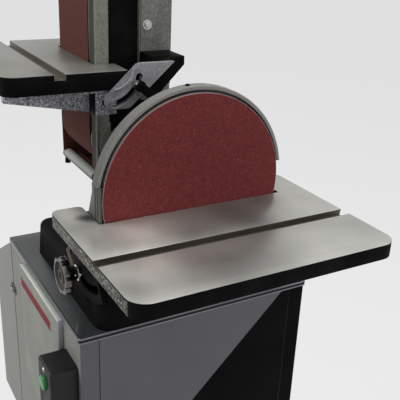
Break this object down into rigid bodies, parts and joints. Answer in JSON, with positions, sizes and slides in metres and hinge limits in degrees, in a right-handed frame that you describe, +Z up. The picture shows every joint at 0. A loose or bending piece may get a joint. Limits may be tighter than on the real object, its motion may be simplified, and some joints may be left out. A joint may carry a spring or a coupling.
{
  "type": "belt and disc sander",
  "caption": "Floor-standing finishing sander: a sanding disc and an upright sanding belt on one arbor, each with a tilting mitre-slot table, on a closed sheet-metal stand.",
  "frame": {"origin": "on the floor, at the centre of the stand's four floor-bolt holes", "axes": "+Z up, +X along the arbor towards the sanding disc, -Y towards the operator at the belt table"},
  "size_m": [0.7772, 0.4834, 1.5176],
  "materials": {
    "stand_paint": "satin grey sheet paint",
    "top_paint": "satin dark grey sheet paint",
    "cover_enamel": "satin pale enamel with one red band",
    "black_enamel": "semi-gloss black enamel on iron",
    "hammertone": "grey hammertone enamel on iron",
    "ground_iron": "ground top, painted rim",
    "abrasive_cloth": "matt dark red grit on cloth",
    "cast_aluminium": "turned cast aluminium",
    "scoop_paint": "pale grey paint",
    "bright_steel": "machined steel",
    "belt_rubber": "matt",
    "black_plastic": "fine grain",
    "green_plastic": "gloss",
    "red_plastic": "gloss"
  },
  "bodies": {
    "stand": {"floor_pan": "stand_paint", "top_pan": "top_paint", "front_panel": "stand_paint", "back_panel": "stand_paint", "right_panel": "stand_paint", "left_panel": "stand_paint", "front_cover": "cover_enamel", "dust_box": "stand_paint", "belt_dust_port": "black_plastic", "seam_clip": "bright_steel", "base_casting": "black_enamel", "disc_dust_port": "black_plastic", "right_pedestal": "hammertone", "left_pedestal": "hammertone", "arbor_bearings": "bright_steel", "pulley_cover": "hammertone", "v_belt": "belt_rubber", "motor_shelf": "stand_paint", "motor": "black_enamel", "disc_housing": "hammertone", "disc_guard": "hammertone", "guard_bolts": "bright_steel", "dust_scoop": "scoop_paint", "dust_chute": "stand_paint", "switch_box": "black_plastic", "cord_gland": "black_plastic"},
    "arbor": {"arbor_shaft": "bright_steel", "disc_plate": "cast_aluminium", "abrasive_disc": "abrasive_cloth", "drive_drum": "cast_aluminium", "driven_pulley": "cast_aluminium"},
    "rotor": {"motor_shaft": "bright_steel", "motor_pulley": "cast_aluminium"},
    "arm": {"belt_arm": "hammertone", "platen_bracket": "hammertone", "platen": "bright_steel", "sanding_belt": "abrasive_cloth", "carriage_rails": "bright_steel", "spring_tube": "bright_steel", "belt_guard": "hammertone", "table_bracket": "black_enamel"},
    "arm_lock": {"arm_lock_lever": "black_enamel"},
    "idler_carriage": {"idler_carriage": "bright_steel", "idler_axle": "bright_steel"},
    "idler": {"idler_drum": "cast_aluminium"},
    "tension_lever": {"tension_lever": "bright_steel"},
    "tracking_knob": {"tracking_knob": "black_plastic"},
    "belt_table": {"belt_table": "ground_iron", "belt_table_support": "hammertone", "belt_table_quadrant": "hammertone"},
    "belt_table_lock": {"belt_table_lock": "black_enamel"},
    "disc_table": {"disc_table": "ground_iron", "left_trunnion": "black_enamel", "right_trunnion": "black_enamel"},
    "disc_lock_left": {"left_lock_knob": "cast_aluminium"},
    "disc_lock_right": {"right_lock_knob": "cast_aluminium"},
    "start_button": {"start_button": "green_plastic"},
    "stop_button": {"stop_button": "red_plastic"}
  },
  "joints": [
    {"name": "arbor_spin", "type": "hinge", "parent": "stand", "child": "arbor", "pos_m": [0, 0, 0.992], "axis": [1, 0, 0], "continuous": true},
    {"name": "motor_spin", "type": "hinge", "parent": "stand", "child": "rotor", "pos_m": [0, 0, 0.572], "axis": [1, 0, 0], "continuous": true},
    {"name": "belt_arm_tilt", "type": "hinge", "parent": "stand", "child": "arm", "pos_m": [-0.128, 0, 0.992], "axis": [-1, 0, 0], "range_deg": [0, 90]},
    {"name": "arm_lock_turn", "type": "hinge", "parent": "arm", "child": "arm_lock", "pos_m": [-0.131, 0.07, 0.992], "axis": [0, 1, 0], "range_deg": [-10, 30]},
    {"name": "idler_slide", "type": "slide", "parent": "arm", "child": "idler_carriage", "axis": [0, 0, -1], "range_m": [0, 0.008]},
    {"name": "tension_lever_turn", "type": "hinge", "parent": "arm", "child": "tension_lever", "pos_m": [-0.089, 0, 1.37027], "axis": [1, 0, 0], "range_deg": [0, 90]},
    {"name": "idler_spin", "type": "hinge", "parent": "idler_carriage", "child": "idler", "pos_m": [-0.2252, 0, 1.42567], "axis": [1, 0, 0], "continuous": true},
    {"name": "tracking_knob_turn", "type": "hinge", "parent": "idler_carriage", "child": "tracking_knob", "pos_m": [-0.081, 0, 1.44615], "axis": [1, 0, 0], "range_deg": [-180, 180]},
    {"name": "belt_table_tilt", "type": "hinge", "parent": "arm", "child": "belt_table", "pos_m": [-0.2252, -0.0592, 1.139], "axis": [1, 0, 0], "range_deg": [-12, 45]},
    {"name": "belt_table_lock_turn", "type": "hinge", "parent": "arm", "child": "belt_table_lock", "pos_m": [-0.0352, -0.01026, 1.11618], "axis": [1, 0, 0], "range_deg": [-60, 60]},
    {"name": "disc_table_tilt", "type": "hinge", "parent": "stand", "child": "disc_table", "pos_m": [0.1535, 0, 0.965], "axis": [0, 1, 0], "range_deg": [-20, 45]},
    {"name": "disc_lock_left_turn", "type": "hinge", "parent": "stand", "child": "disc_lock_left", "pos_m": [0.12462, -0.195, 0.8787], "axis": [0, -1, 0], "range_deg": [-180, 180]},
    {"name": "disc_lock_right_turn", "type": "hinge", "parent": "stand", "child": "disc_lock_right", "pos_m": [0.12462, 0.195, 0.8787], "axis": [0, 1, 0], "range_deg": [-180, 180]},
    {"name": "start_press", "type": "slide", "parent": "stand", "child": "start_button", "axis": [0, 1, 0], "range_m": [0, 0.003], "stiffness_N_per_m": 300},
    {"name": "stop_press", "type": "slide", "parent": "stand", "child": "stop_button", "axis": [0, 1, 0], "range_m": [0, 0.003], "stiffness_N_per_m": 300}
  ],
  "couplings": [
    {"joint": "motor_spin", "follows": "arbor_spin", "ratio": 0.75926},
    {"joint": "idler_spin", "follows": "arbor_spin", "ratio": 1},
    {"joint": "tension_lever_turn", "follows": "idler_slide", "rad_per_m": 196}
  ]
}
